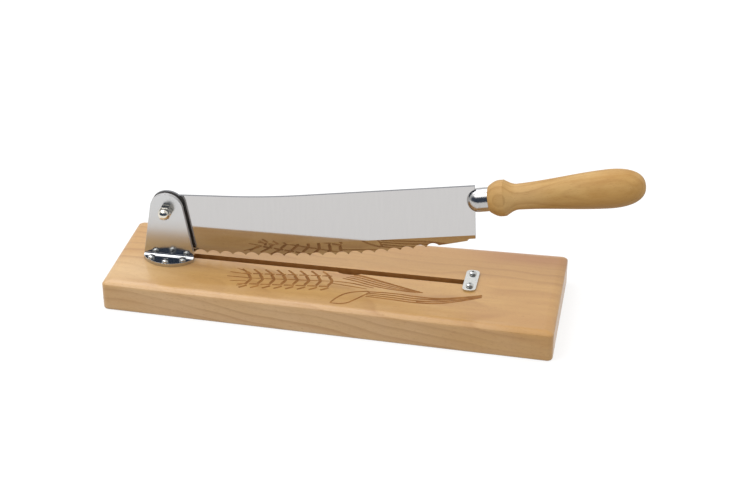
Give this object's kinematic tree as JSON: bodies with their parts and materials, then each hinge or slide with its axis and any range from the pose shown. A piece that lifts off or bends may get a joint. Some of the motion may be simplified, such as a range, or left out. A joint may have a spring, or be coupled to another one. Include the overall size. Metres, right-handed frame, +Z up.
{
  "type": "bread guillotine",
  "caption": "Beech bread guillotine: a scalloped steel blade with a turned handle swings on a bent steel bracket and drops into a slot in a thick board.",
  "frame": {"origin": "centre of the board's flat underside", "axes": "+X along the board to the handle, -Y to the user's side with the bracket's foot, +Z up"},
  "size_m": [0.4168, 0.122, 0.1358],
  "materials": {
    "board_beech": "oiled beech, fine flecks along the grain",
    "handle_beech": "turned and varnished beech, satin gloss",
    "blade_steel": "mirror-polished stainless steel",
    "plated_steel": "bright chrome plate",
    "screw_steel": "bright zinc plate",
    "bolt_steel": "turned and zinc-plated steel"
  },
  "bodies": {
    "base": {"board": "board_beech", "stop_strap": "plated_steel", "strap_screws": "screw_steel", "hinge_bracket": "plated_steel", "bracket_screws": "screw_steel", "pivot_bolt": "bolt_steel", "pivot_cap_nut": "plated_steel", "pivot_spacer": "bolt_steel", "rear_washer": "bolt_steel"},
    "blade_arm": {"blade": "blade_steel", "bolster": "plated_steel", "bolster_rivet": "plated_steel", "tang_stud": "bolt_steel", "handle": "handle_beech"}
  },
  "joints": [
    {"name": "blade_pivot", "type": "hinge", "parent": "base", "child": "blade_arm", "pos_m": [-0.1366, 0.0011, 0.069], "axis": [0, -1, 0], "range_deg": [-9.25, 80]}
  ]
}
